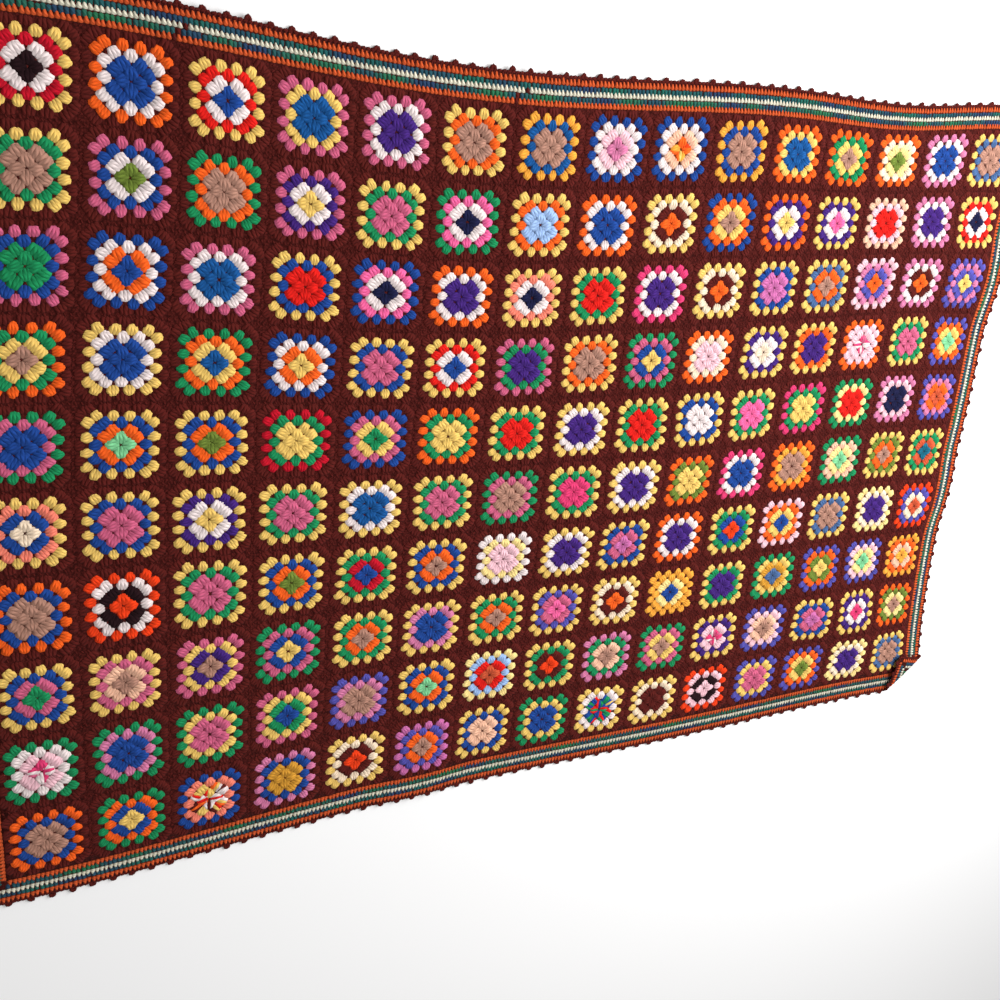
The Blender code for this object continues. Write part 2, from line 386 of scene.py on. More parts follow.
def seen(red, green, blue):
    """A colour as the eye reads it, from 0 to 255, in the linear values that a shader takes."""

    def linear(level):
        share = level / 255.0
        return share / 12.92 if share <= 0.04045 else ((share + 0.055) / 1.055) ** 2.4

    return linear(red), linear(green), linear(blue)


def yarn_colour(yarn):
    return FloatVectorProperty(
        name=yarn.replace("_", " ").capitalize(),
        description="The colour of this yarn",
        subtype="COLOR",
        size=3,
        min=0.0,
        max=1.0,
        default=seen(*YARNS[yarn]),
    )


class YarnColours(bpy.types.PropertyGroup):
    """The colour of every plain yarn in the blanket."""

    __annotations__ = {yarn: yarn_colour(yarn) for yarn in YARNS}


def stitch_length(name, description, default, lowest, highest):
    return FloatProperty(
        name=name, description=description, default=default, min=lowest, max=highest, unit="LENGTH"
    )


class StitchSizes(bpy.types.PropertyGroup):
    """The sizes of the stitches."""

    spacing: stitch_length("Cluster spacing", "Between a side's clusters", 0.0195, 0.015, 0.022)
    cluster_length: stitch_length("Cluster length", "From its foot to its top", 0.0172, 0.012, 0.020)
    post_pitch: stitch_length("Border pitch", "Between stitches of a border round", 0.0061, 0.005, 0.008)
    middle: stitch_length("Stitches' middle", "Height above the underside", 0.0023, 0.001, 0.003)
    ground: stitch_length("Ground thickness", "Of the cloth behind the stitches", 0.0010, 0.0005, 0.002)
    ground_cells: IntProperty(
        name="Ground cells", description="Along one side of a square", default=6, min=2, max=12
    )
    ground_cells_per_picot: IntProperty(
        name="Border ground cells", description="Along the border, per picot", default=3, min=1, max=6
    )
    ground_cells_across: IntProperty(
        name="Cells across the border", description="From the field outwards", default=3, min=1, max=6
    )


class StageSettings(bpy.types.PropertyGroup):
    """The floor and the lights."""

    floor_side: FloatProperty(
        name="Floor side", description="Side of the pale floor", default=14.0, unit="LENGTH"
    )
    key_power: FloatProperty(
        name="Key light", description="Power of the big soft light", default=75.0, unit="POWER"
    )
    fill_strength: FloatProperty(
        name="Fill", description="Strength of the light from all round", default=0.46, min=0.0
    )


# ---- The plan and how the cloth lies ----


def ring_half(distance):
    """Half the width and half the depth of the rectangle that lies distance outside the field."""
    return FIELD_HALF[0] + distance, FIELD_HALF[1] + distance


def crease():
    """A point on the fold's crease, and the unit direction from it towards the folded corner."""
    half_u, half_v = ring_half(BAND_WIDTH + EDGING_WIDTH)
    length = math.hypot(FOLD_ALONG_BOTTOM, FOLD_ALONG_SIDE)
    towards = (FOLD_ALONG_SIDE / length, -FOLD_ALONG_BOTTOM / length)
    return (half_u - FOLD_ALONG_BOTTOM, -half_v), towards


def bend_radius():
    """The bend's radius half way through the cloth."""
    return FOLD_INNER_RADIUS + THICKNESS / 2


def fold_over(u, v, w):
    """Rolls what lies past the crease up and back over the cloth."""
    start, towards = crease()
    past = np.maximum((u - start[0]) * towards[0] + (v - start[1]) * towards[1], 0.0)
    turn = np.minimum(past / bend_radius(), FOLD_TURN)
    straight = past - bend_radius() * turn
    axis_height = THICKNESS + FOLD_INNER_RADIUS
    radius = axis_height - w
    reach = radius * np.sin(turn) + straight * np.cos(turn)
    height = axis_height - radius * np.cos(turn) + straight * np.sin(turn)
    return u + (reach - past) * towards[0], v + (reach - past) * towards[1], height


def pull_aside(x, y):
    """Where the uneven tension takes a point of the straight cloth."""
    shift_x = np.zeros_like(x)
    shift_y = np.zeros_like(y)
    for pull in PULLS.values():
        near = np.exp(-((x - pull.x) ** 2 + (y - pull.y) ** 2) / pull.reach**2)
        shift_x += pull.shift_x * near
        shift_y += pull.shift_y * near
    return x + shift_x, y + shift_y


def ripple_height(x, y):
    """How far the cloth's underside stands above the surface."""
    highest = np.zeros_like(x)
    for ripple in RIPPLES.values():
        turn = math.radians(ripple.turn)
        along = (x - ripple.x) * math.cos(turn) + (y - ripple.y) * math.sin(turn)
        across = (y - ripple.y) * math.cos(turn) - (x - ripple.x) * math.sin(turn)
        away = (along / ripple.half_length) ** 2 + (across / ripple.half_width) ** 2
        highest = np.maximum(highest, ripple.height * np.maximum(1.0 - away, 0.0) ** 2)
    return highest


def lay(points):
    """Takes points of the plan, with (u, v, w) last, to their places on the laid blanket."""
    u, v, w = fold_over(points[..., 0], points[..., 1], points[..., 2])
    x, y = pull_aside(u, v)
    return np.stack([x - CENTRE_X, y - CENTRE_Y, w + ripple_height(x, y)], axis=-1)


def side_to_ring(share, across, turned, inner, outer):
    """A point on the ring between two rectangles.

    share runs from 0 to 1 along the side and across from 0 on the inner rectangle to 1 on the outer one.
    turned is the quarter turns from the bottom side, anticlockwise.
    """
    half_u = inner[0] + (outer[0] - inner[0]) * across
    half_v = inner[1] + (outer[1] - inner[1]) * across
    corners = ((-1, -1), (1, -1), (1, 1), (-1, 1))
    start = corners[turned]
    end = corners[(turned + 1) % 4]
    u = half_u * (start[0] + (end[0] - start[0]) * share)
    v = half_v * (start[1] + (end[1] - start[1]) * share)
    return u, v


# ---- Modelling one strand, and the copies of it ----

Shape = namedtuple("Shape", "points along loops starts maps")
Batch = namedtuple("Batch", "shape points colours")


def deselect_all():
    bpy.ops.object.select_all(action="DESELECT")


def select_ring(number, rings):
    """Selects one ring of the ball being edited, counted from its root end."""
    mesh = bmesh.from_edit_mesh(bpy.context.object.data)
    height = -math.cos(math.pi * number / (rings - 1))
    for vert in mesh.verts:
        vert.select_set(abs(vert.co.z - height) < NEAR)
    mesh.select_flush_mode()
    bmesh.update_edit_mesh(bpy.context.object.data)


def model_strand(rings, sides, length):
    """One strand as a Shape along +Y, made from a ball whose rings are drawn to the strand's widths."""
    deselect_all()
    bpy.ops.mesh.primitive_uv_sphere_add(segments=sides, ring_count=len(rings) - 1, radius=1.0)
    ball = bpy.context.object
    bpy.ops.object.mode_set(mode="EDIT")
    bpy.ops.mesh.select_mode(type="VERT")
    for number, ring in enumerate(rings):
        select_ring(number, len(rings))
        height = -math.cos(math.pi * number / (len(rings) - 1))
        radius = math.sin(math.pi * number / (len(rings) - 1))
        if radius > NEAR:
            bpy.ops.transform.resize(
                value=(ring.half_width / radius, ring.half_height / radius, 1.0),
                center_override=(0.0, 0.0, height),
            )
        bpy.ops.transform.translate(value=(0.0, ring.lift, RING_GAP * (number + 1)))
    bpy.ops.object.mode_set(mode="OBJECT")
    shape = read_shape(ball, rings, length)
    bpy.data.objects.remove(ball, do_unlink=True)
    return shape


def read_shape(ball, rings, length):
    """Reads the modelled ball, with its axis turned from +Z to +Y and its rings set at their shares."""
    mesh = ball.data
    raw = np.zeros(len(mesh.vertices) * 3)
    mesh.vertices.foreach_get("co", raw)
    raw = raw.reshape(-1, 3)
    last = len(rings) - 1
    heights = [RING_GAP * (n + 1) - math.cos(math.pi * n / last) for n in range(len(rings))]
    along = np.interp(raw[:, 2], heights, [ring.along for ring in rings])
    points = np.stack([-raw[:, 0], along * length, raw[:, 1]], axis=-1)
    loops = np.zeros(len(mesh.loops), dtype=np.int32)
    mesh.loops.foreach_get("vertex_index", loops)
    starts = np.zeros(len(mesh.polygons), dtype=np.int32)
    mesh.polygons.foreach_get("loop_start", starts)
    maps = np.zeros(len(mesh.loops) * 2)
    mesh.uv_layers.active.data.foreach_get("uv", maps)
    return Shape(points, along, loops, starts, maps.reshape(-1, 2))


def mesh_from_arrays(name, points, loops, starts):
    mesh = bpy.data.meshes.new(name)
    mesh.vertices.add(len(points))
    mesh.vertices.foreach_set("co", points.astype(np.float32).ravel())
    mesh.loops.add(len(loops))
    mesh.loops.foreach_set("vertex_index", loops.astype(np.int32))
    mesh.polygons.add(len(starts))
    mesh.polygons.foreach_set("loop_start", starts.astype(np.int32))
    mesh.polygons.foreach_set("use_smooth", np.ones(len(starts), dtype=bool))
    mesh.update(calc_edges=True)
    return mesh


def join_copies(name, batches, material):
    """One joined piece of many strands. Each strand has its own cell of the bake map."""
    copies = sum(len(batch.points) for batch in batches)
    cells = math.ceil(math.sqrt(copies))
    points, colours, loops, starts, strand_maps, bake_maps = [], [], [], [], [], []
    vert_count = loop_count = copy_count = 0
    for shape, placed, tints in batches:
        number = len(placed)
        each = np.arange(number)
        points.append(lay(placed).reshape(-1, 3))
        colours.append(tints.reshape(-1, 3))
        verts = len(shape.points)
        loops.append((shape.loops[None, :] + (vert_count + each * verts)[:, None]).ravel())
        starts.append((shape.starts[None, :] + (loop_count + each * len(shape.loops))[:, None]).ravel())
        strand_maps.append(np.tile(shape.maps, (number, 1)))
        place = copy_count + each
        corner = np.stack([place % cells, place // cells], axis=-1)[:, None, :]
        inside = CELL_MARGIN + (1.0 - 2.0 * CELL_MARGIN) * shape.maps[None, :, :]
        bake_maps.append(((corner + inside) / cells).reshape(-1, 2))
        vert_count += verts * number
        loop_count += len(shape.loops) * number
        copy_count += number
    mesh = mesh_from_arrays(name, np.concatenate(points), np.concatenate(loops), np.concatenate(starts))
    for map_name, maps in ((STRAND_MAP, strand_maps), (BAKE_MAP, bake_maps)):
        layer = mesh.uv_layers.new(name=map_name)
        layer.data.foreach_set("uv", np.concatenate(maps).astype(np.float32).ravel())
    paint_verts(mesh, np.concatenate(colours))
    mesh.materials.append(material)
    piece = bpy.data.objects.new(name, mesh)
    bpy.context.scene.collection.objects.link(piece)
    return piece


def paint_verts(mesh, colours):
    layer = mesh.color_attributes.new(name=COLOUR_LAYER, type="FLOAT_COLOR", domain="POINT")
    solid = np.concatenate([colours, np.ones((len(colours), 1))], axis=1)
    layer.data.foreach_set("color", solid.astype(np.float32).ravel())


def place_strands(shape, foot, turn, stretch, middle, shifts=None):
    """Copies of a strand on the plan, each from its foot in the direction turn, clockwise from +v.

    stretch holds each copy's share of the strand's width, length and height. shifts moves the copy's
    points sideways.
    """
    local = shape.points[None, :, :] * stretch[:, None, :]
    sideways = local[..., 0] if shifts is None else local[..., 0] + shifts
    sine = np.sin(turn)[:, None]
    cosine = np.cos(turn)[:, None]
    u = foot[:, 0:1] + sideways * cosine + local[..., 1] * sine
    v = foot[:, 1:2] - sideways * sine + local[..., 1] * cosine
    return np.stack([u, v, middle[:, None] + local[..., 2]], axis=-1)


def directions(turns):
    """The unit directions on the plan of turns that are taken clockwise from +v."""
    return np.stack([np.sin(turns), np.cos(turns)], axis=-1)


def plain_colours():
    colours = bpy.context.scene.blanket_yarns
    return {name: np.array(getattr(colours, name)) for name in YARNS}


def tint_strands(shape, colours, shade, kind):
    """Colours for every point of every copy: each copy's own shade, with painted shade darkening it at the
    root.
    """
    # depth is the painted shade along the strand: darkest at its root, full colour near its top.
    depth = np.interp(shape.along, PAINTED_SHADE_STATIONS, (PAINTED_ROOT_SHADES[kind], *PAINTED_SHADE_ABOVE_ROOT))
    return np.clip(colours[:, None, :] * shade[:, None, None] * depth[None, :, None], 0.0, 1.0)


# ---- Materials ----


def new_node(tree, kind, **settings):
    node = tree.nodes.new(kind)
    for key, value in settings.items():
        if key in node.inputs:
            node.inputs[key].default_value = value
        else:
            setattr(node, key, value)
    return node


def map_range(tree, value, low, high):
    """Spreads a value from 0 to 1 over the range from low to high."""
    node = tree.nodes.new("ShaderNodeMapRange")
    node.inputs["To Min"].default_value = low
    node.inputs["To Max"].default_value = high
    tree.links.new(value, node.inputs["Value"])
    return node.outputs["Result"]


def scaled_colour(tree, colour, scale):
    node = new_node(tree, "ShaderNodeVectorMath", operation="SCALE")
    tree.links.new(colour, node.inputs[0])
    tree.links.new(scale, node.inputs["Scale"])
    return node.outputs["Vector"]


def bump_normal(tree, height, shader, **settings):
    node = new_node(tree, "ShaderNodeBump", **settings)
    tree.links.new(height, node.inputs["Height"])
    tree.links.new(node.outputs["Normal"], shader.inputs["Normal"])


def wool_shader(name, roughness):
    """A matt material with the faint sheen of wool."""
    material = bpy.data.materials.new(name)
    material.use_nodes = True
    shader = material.node_tree.nodes["Principled BSDF"]
    shader.inputs["Roughness"].default_value = roughness
    shader.inputs["Specular IOR Level"].default_value = 0.05
    shader.inputs["Sheen Weight"].default_value = 0.01
    shader.inputs["Sheen Roughness"].default_value = 0.6
    return material, material.node_tree, shader


def yarn_material(name):
    """Wool yarn: the strand's own colour, with its plies twisted round it, painted shade in the grooves
    between them and a short fuzz.
    """
    material, tree, shader = wool_shader(name, 0.92)
    link = tree.links.new
    # The wave texture's period along its bands, so that the plies meet round the strand.
    one_band = 2.0 * math.pi / 10.0
    around = new_node(tree, "ShaderNodeUVMap", uv_map=STRAND_MAP)
    twist = new_node(tree, "ShaderNodeMapping", Scale=(PLIES * one_band, PLIES * one_band, 1.0))
    ply = new_node(tree, "ShaderNodeTexWave", bands_direction="DIAGONAL", wave_profile="SIN", Scale=1.0)
    link(around.outputs["UV"], twist.inputs["Vector"])
    link(twist.outputs["Vector"], ply.inputs["Vector"])
    place = new_node(tree, "ShaderNodeTexCoord")
    fuzz = new_node(tree, "ShaderNodeTexNoise", Scale=1400.0, Detail=3.0, Roughness=0.6)
    link(place.outputs["Object"], fuzz.inputs["Vector"])

    colour = new_node(tree, "ShaderNodeVertexColor", layer_name=COLOUR_LAYER)
    # The ply wave paints shade into the grooves between the plies and a little painted light on them; the
    # fuzz varies the tone at random.
    shade = new_node(tree, "ShaderNodeMath", operation="MULTIPLY")
    link(map_range(tree, ply.outputs["Fac"], 0.78, 1.06), shade.inputs[0])
    link(map_range(tree, fuzz.outputs["Fac"], 0.80, 1.20), shade.inputs[1])
    shaded = scaled_colour(tree, colour.outputs["Color"], shade.outputs["Value"])
    link(shaded, shader.inputs["Base Color"])

    height = new_node(tree, "ShaderNodeMath", operation="MULTIPLY_ADD")
    height.inputs[1].default_value = 0.6
    link(fuzz.outputs["Fac"], height.inputs[0])
    link(ply.outputs["Fac"], height.inputs[2])
    bump_normal(tree, height.outputs["Value"], shader, Strength=0.55, Distance=0.0005)
    return material


def painted_shade_ground_material(name, colour):
    """The closed brown cloth behind the stitches: small loops, with painted light on their tops and
    painted shade in the hollows.
    """
    material, tree, shader = wool_shader(name, 0.95)
    link = tree.links.new
    place = new_node(tree, "ShaderNodeTexCoord")
    loops = new_node(tree, "ShaderNodeTexVoronoi", Scale=330.0)
    patches = new_node(tree, "ShaderNodeTexNoise", Scale=16.0, Detail=2.0)
    link(place.outputs["Object"], loops.inputs["Vector"])
    link(place.outputs["Object"], patches.inputs["Vector"])
    # The ramp paints light and shade over the loops: lighter at their middles, much darker in the hollows
    # between them.
    ramp = new_node(tree, "ShaderNodeValToRGB")
    ramp.color_ramp.elements[0].position = 0.0
    ramp.color_ramp.elements[0].color = (*(1.15 * c for c in colour), 1.0)
    ramp.color_ramp.elements[1].position = 0.9
    ramp.color_ramp.elements[1].color = (*(0.35 * c for c in colour), 1.0)
    link(loops.outputs["Distance"], ramp.inputs["Fac"])
    patch_shade = map_range(tree, patches.outputs["Fac"], 0.75, 1.25)
    link(scaled_colour(tree, ramp.outputs["Color"], patch_shade), shader.inputs["Base Color"])
    bump_normal(tree, loops.outputs["Distance"], shader, Strength=0.8, Distance=0.0012, invert=True)
    return material


def once(name, make, *details):
    """The named material, made the first time it is asked for."""
    return bpy.data.materials.get(name) or make(name, *details)


# ---- The ground cloth ----


def cut_for_the_bend():
    """Cuts the mesh being edited along the crease and beside it, so that the bend is rolled evenly."""
    start, towards = crease()
    for step in range(FOLD_FACETS + 1):
        past = bend_radius() * FOLD_TURN * step / FOLD_FACETS
        bpy.ops.mesh.select_all(action="SELECT")
        bpy.ops.mesh.bisect(
            plane_co=(start[0] + past * towards[0], start[1] + past * towards[1], 0.0),
            plane_no=(towards[0], towards[1], 0.0),
        )


def finish_ground(piece, sizes, material):
    """Cuts the flat cloth for the bend, gives it its thickness and lays it."""
    bpy.ops.object.mode_set(mode="EDIT")
    cut_for_the_bend()
    bpy.ops.object.mode_set(mode="OBJECT")
    wall = piece.modifiers.new("thickness", "SOLIDIFY")
    wall.thickness = sizes.ground
    wall.offset = 0.0
    bpy.ops.object.modifier_apply(modifier=wall.name)
    mesh = piece.data
    points = np.zeros(len(mesh.vertices) * 3)
    mesh.vertices.foreach_get("co", points)
    points = points.reshape(-1, 3)
    points[:, 2] += sizes.middle
    mesh.vertices.foreach_set("co", lay(points).ravel())
    mesh.polygons.foreach_set("use_smooth", np.ones(len(mesh.polygons), dtype=bool))
    mesh.update()
    mesh.materials.append(material)
    deselect_all()


class BLANKET_OT_field_ground(bpy.types.Operator):
    """Lay the closed cloth behind the squares"""

    bl_idname = "blanket.field_ground"
    bl_label = "Field ground"

    def execute(self, context):
        sizes = context.scene.blanket_sizes
        deselect_all()
        across, down = COLUMNS * sizes.ground_cells, ROWS * sizes.ground_cells
        bpy.ops.mesh.primitive_grid_add(x_subdivisions=across, y_subdivisions=down, size=2.0)
        piece = context.object
        piece.name = "field_ground"
        bpy.ops.object.mode_set(mode="EDIT")
        bpy.ops.mesh.select_all(action="SELECT")
        bpy.ops.transform.resize(value=(FIELD_HALF[0], FIELD_HALF[1], 1.0))
        bpy.ops.object.mode_set(mode="OBJECT")
        # The brown is darkened by painted shade for the holes between the stitches.
        colour = FIELD_GROUND_PAINTED_SHADE * plain_colours()["brown"]
        finish_ground(piece, sizes, once("ground_wool", painted_shade_ground_material, colour))
        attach(piece, BODY)
        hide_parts("field")
        return {"FINISHED"}


class BLANKET_OT_border_ground(bpy.types.Operator):
    """Lay the closed cloth behind the border's rounds"""

    bl_idname = "blanket.border_ground"
    bl_label = "Border ground"

    def execute(self, context):
        sizes = context.scene.blanket_sizes
        inner = ring_half(GROUND_GAP)
        outer = ring_half(BORDER_GROUND_WIDTH)
        deselect_all()
        for turned in range(4):
            cells = sizes.ground_cells_per_picot * PICOTS[turned % 2]
            across = sizes.ground_cells_across
            bpy.ops.mesh.primitive_grid_add(x_subdivisions=cells, y_subdivisions=across, size=1.0)
            side = context.object
            for vert in side.data.vertices:
                share, outwards = vert.co.x + 0.5, vert.co.y + 0.5
                vert.co.x, vert.co.y = side_to_ring(share, outwards, turned, inner, outer)
            side.name = f"border_side_{turned}"
        for turned in range(4):
            bpy.data.objects[f"border_side_{turned}"].select_set(True)
        bpy.ops.object.join()
        piece = context.object
        piece.name = "border_ground"
        bpy.ops.object.mode_set(mode="EDIT")
        bpy.ops.mesh.select_all(action="SELECT")
        bpy.ops.mesh.remove_doubles(threshold=WELD)
        bpy.ops.mesh.normals_make_consistent(inside=False)
        bpy.ops.object.mode_set(mode="OBJECT")
        # The brown is darkened by painted shade for the holes between the stitches.
        colour = BORDER_GROUND_PAINTED_SHADE * plain_colours()["brown"]
        finish_ground(piece, sizes, once("border_ground_wool", painted_shade_ground_material, colour))
        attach(piece, BODY)
        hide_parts("border_band")
        return {"FINISHED"}


# ---- The squares ----

Cluster = namedtuple("Cluster", "a b turn number")
RowStrands = namedtuple("RowStrands", "feet turns stretches strands rounds tints")


def square_clusters(spacing):
    """The clusters of one square about its middle: place, direction clockwise from +v, and round."""
    clusters = []
    for number, line in enumerate(SQUARE_ROUNDS):
        for place in line.places:
            turn = 0.0
            if place and abs(place) == line.places[-1]:
                turn = math.copysign(CORNER_TURN, place)
            a, b = place * spacing, line.depth * spacing
            for quarter in range(4):
                clusters.append(Cluster(a, b, turn + quarter * math.pi / 2, number))
                a, b = b, -a
    return clusters


def strand_yarn(yarn, colours, rng):
    """The colour of each of a cluster's three strands."""
    if yarn not in CHANGING_YARNS:
        return [colours[yarn]] * 3
    return [colours[name] for name in rng.choice(CHANGING_YARNS[yarn], 3)]


def row_strands(row, squares, rng, sizes, colours):
    """Every strand of one row of squares."""
    template = square_clusters(sizes.spacing)
    feet, turns, stretches, strands, rounds, tints = [], [], [], [], [], []
    for column, yarns in enumerate(squares):
        names = yarns.split() + ["brown"]
        middle_u = (column - (COLUMNS - 1) / 2) * SQUARE_SIDE + rng.normal(0.0, UNEVEN_SQUARE.foot)
        middle_v = ((ROWS - 1) / 2 - row) * SQUARE_SIDE + rng.normal(0.0, UNEVEN_SQUARE.foot)
        skew = rng.normal(0.0, UNEVEN_SQUARE.turn)
        size = rng.normal(1.0, UNEVEN_SQUARE.size)
        for cluster in template:
            line = SQUARE_ROUNDS[cluster.number]
            steady = 0.0 if cluster.number == LAST_ROUND else 1.0
            grown = 1.0 + steady * (size - 1.0)
            turned = steady * skew
            a = grown * (cluster.a * math.cos(turned) + cluster.b * math.sin(turned))
            b = grown * (cluster.b * math.cos(turned) - cluster.a * math.sin(turned))
            turn = cluster.turn + turned + rng.normal(0.0, UNEVEN_CLUSTER.turn)
            length = line.length * rng.normal(1.0, UNEVEN_CLUSTER.size)
            width = line.width * rng.normal(1.0, UNEVEN_CLUSTER.size)
            half = 0.5 * sizes.cluster_length * length
            foot_u = middle_u + a - half * math.sin(turn) + rng.normal(0.0, UNEVEN_CLUSTER.foot)
            foot_v = middle_v + b - half * math.cos(turn) + rng.normal(0.0, UNEVEN_CLUSTER.foot)
            yarn = strand_yarn(names[cluster.number], colours, rng)
            for strand in (-1, 0, 1):
                feet.append((foot_u, foot_v))
                turns.append(turn)
                share = 1.0 if strand == 0 else OUTER_STRAND_REACH
                reach = length * share * rng.normal(1.0, UNEVEN_STRAND_REACH)
                wide = width * rng.normal(1.0, UNEVEN_STRAND_WIDTH)
                stretches.append((wide, reach, rng.normal(1.0, UNEVEN_STRAND_WIDTH)))
                strands.append(strand)
                rounds.append(cluster.number)
                tints.append(yarn[strand + 1])
    lists = (feet, turns, stretches, strands, rounds, tints)
    return RowStrands(*(np.array(values, dtype=float) for values in lists))


class BLANKET_OT_squares(bpy.types.Operator):
    """Crochet the granny squares, one joined piece for each row of squares"""

    bl_idname = "blanket.squares"
    bl_label = "Squares"

    def execute(self, context):
        sizes = context.scene.blanket_sizes
        colours = plain_colours()
        material = once("square_wool", yarn_material)
        plump = model_strand(CLUSTER_STRAND, STRAND_SIDES, sizes.cluster_length)
        simple = model_strand(SIMPLE_STRAND, STRAND_SIDES, sizes.cluster_length)
        for row, line in enumerate(CHART):
            rng = np.random.default_rng(SEED + row)
            squares = line.split(",")
            if len(squares) != COLUMNS:
                raise ValueError(f"row {row + 1} of the chart has {len(squares)} squares")
            every = row_strands(row, squares, rng, sizes, colours)
            batches = []
            last = every.rounds == LAST_ROUND
            for shape, chosen in ((plump, ~last), (simple, last)):
                feet, turns, stretches, strands, _, tints = (values[chosen] for values in every)
                spread = np.interp(shape.along, *STRAND_SPREAD)
                shifts = strands[:, None] * spread[None, :] * stretches[:, 0:1]
                middle = sizes.middle + np.where(strands == 0, MIDDLE_STRAND_RISE, 0.0)
                placed = place_strands(shape, feet, turns, stretches, middle, shifts)
                shade = rng.normal(1.0, UNEVEN_CLUSTER.shade, len(feet))
                batches.append(Batch(shape, placed, tint_strands(shape, tints, shade, "cluster")))
            piece = join_copies(f"squares_row_{row + 1:02d}", batches, material)
            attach(piece, BODY)
        return {"FINISHED"}


class BLANKET_OT_joins(bpy.types.Operator):
    """Sew the squares together with a line of small slanted stitches"""

    bl_idname = "blanket.joins"
    bl_label = "Joins"

    def execute(self, context):
        sizes = context.scene.blanket_sizes
        rng = np.random.default_rng(JOINS_SEED)
        stitch = model_strand(SMALL_STITCH, THIN_STRAND_SIDES, JOIN_STITCH_LENGTH)
        middles, turns = [], []
        for column in range(1, COLUMNS):
            for step in range(ROWS * JOIN_STITCHES):
                along = -FIELD_HALF[1] + (step + 0.5) * SQUARE_SIDE / JOIN_STITCHES
                middles.append((-FIELD_HALF[0] + column * SQUARE_SIDE, along))
                turns.append(JOIN_SLANT)
        for row in range(1, ROWS):
            for step in range(COLUMNS * JOIN_STITCHES):
                along = -FIELD_HALF[0] + (step + 0.5) * SQUARE_SIDE / JOIN_STITCHES
                middles.append((along, -FIELD_HALF[1] + row * SQUARE_SIDE))
                turns.append(JOIN_SLANT - math.pi / 2)
        count = len(turns)
        turns = np.array(turns) + rng.normal(0.0, UNEVEN_JOIN.turn, count)
        feet = np.array(middles) - JOIN_STITCH_LENGTH / 2 * directions(turns)
        feet += rng.normal(0.0, UNEVEN_JOIN.foot, feet.shape)
        stretch = rng.normal(1.0, UNEVEN_JOIN.size, (count, 3))
        placed = place_strands(stitch, feet, turns, stretch, np.full(count, sizes.middle))
        colours = np.tile(plain_colours()["brown"], (count, 1))
        shade = rng.normal(BROWN_SHADE, UNEVEN_JOIN.shade, count)
        batch = Batch(stitch, placed, tint_strands(stitch, colours, shade, "plain"))
        piece = join_copies("joins", [batch], once("square_wool", yarn_material))
        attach(piece, BODY)
        return {"FINISHED"}


# ---- The border ----


def ring_posts(start, pitch, between=False):
    """Stitches round the rectangle that lies start outside the field: foot, outward turn and length gone.

    Every round has as many stitches, and those of every other round stand between the ones below.
    """
    half = ring_half(start)
    middle = ring_half(BAND_WIDTH / 2)
    feet, turns, gone, before = [], [], [], 0.0
    for turned in range(4):
        side = 2.0 * half[turned % 2]
        count = round(2.0 * middle[turned % 2] / pitch)
        share = (np.arange(count) + (1.0 if between else 0.5)) / count
        u, v = side_to_ring(share, 0.0, turned, half, half)
        feet.append(np.stack([u, v], axis=-1))
        turns.append(np.full(count, OUTWARD[turned]))
        gone.append(before + share * side)
        before += side
    return np.concatenate(feet), np.concatenate(turns), np.concatenate(gone)


def changing_shade(gone, first, second, seed):
    """A yarn that drifts between two colours along the round."""
    rng = np.random.default_rng(seed)
    waves = sum(np.sin(2 * math.pi * (gone / length + rng.random())) for length in DRIFT_LENGTHS)
    share = 0.5 + DRIFT_STRENGTH * waves + rng.normal(0.0, UNEVEN_DRIFT, len(gone))
    share = np.clip(share, 0.0, 1.0)[:, None]
    return first[None, :] * (1.0 - share) + second[None, :] * share


class BLANKET_OT_border(bpy.types.Operator):
    """Crochet the five striped rounds of the border"""

    bl_idname = "blanket.border"
    bl_label = "Border rounds"

    def execute(self, context):
        sizes = context.scene.blanket_sizes
        colours = plain_colours()
        material = once("border_wool", yarn_material)
        for number, line in enumerate(BORDER_ROUNDS):
            rng = np.random.default_rng(BORDER_SEED + number)
            rings = TOOTH if line.teeth else SIMPLE_STRAND
            post = model_strand(rings, STRAND_SIDES, line.end - line.start)
            feet, turns, gone = ring_posts(line.start, sizes.post_pitch, number % 2 == 1)
            count = len(feet)
            turns = turns + POST_LEAN + rng.normal(0.0, UNEVEN_ROUND.turn, count)
            feet = feet + rng.normal(0.0, UNEVEN_ROUND.foot, feet.shape)
            stretch = rng.normal(1.0, UNEVEN_ROUND.size, (count, 3))
            stretch[:, 0] *= line.width
            placed = place_strands(post, feet, turns, stretch, np.full(count, sizes.middle))
            yarns = [colours[name] for name in line.yarns]
            if len(yarns) == 2:
                tints = changing_shade(gone, *yarns, SEED + number)
            else:
                tints = np.tile(yarns[0], (count, 1))
            if line.end < ROUND_JOIN_END:
                for join in ROUND_JOINS:
                    beside = np.abs(feet[:, 0] - join - line.start) < ROUND_JOIN_HALF_WIDTH
                    tints[beside & (feet[:, 1] > 0)] = colours["brown"]
            shade = rng.normal(1.0, UNEVEN_ROUND.shade, count)
            batch = Batch(post, placed, tint_strands(post, tints, shade, "border"))
            piece = join_copies(line.name, [batch], material)
            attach(piece, BODY)
        return {"FINISHED"}


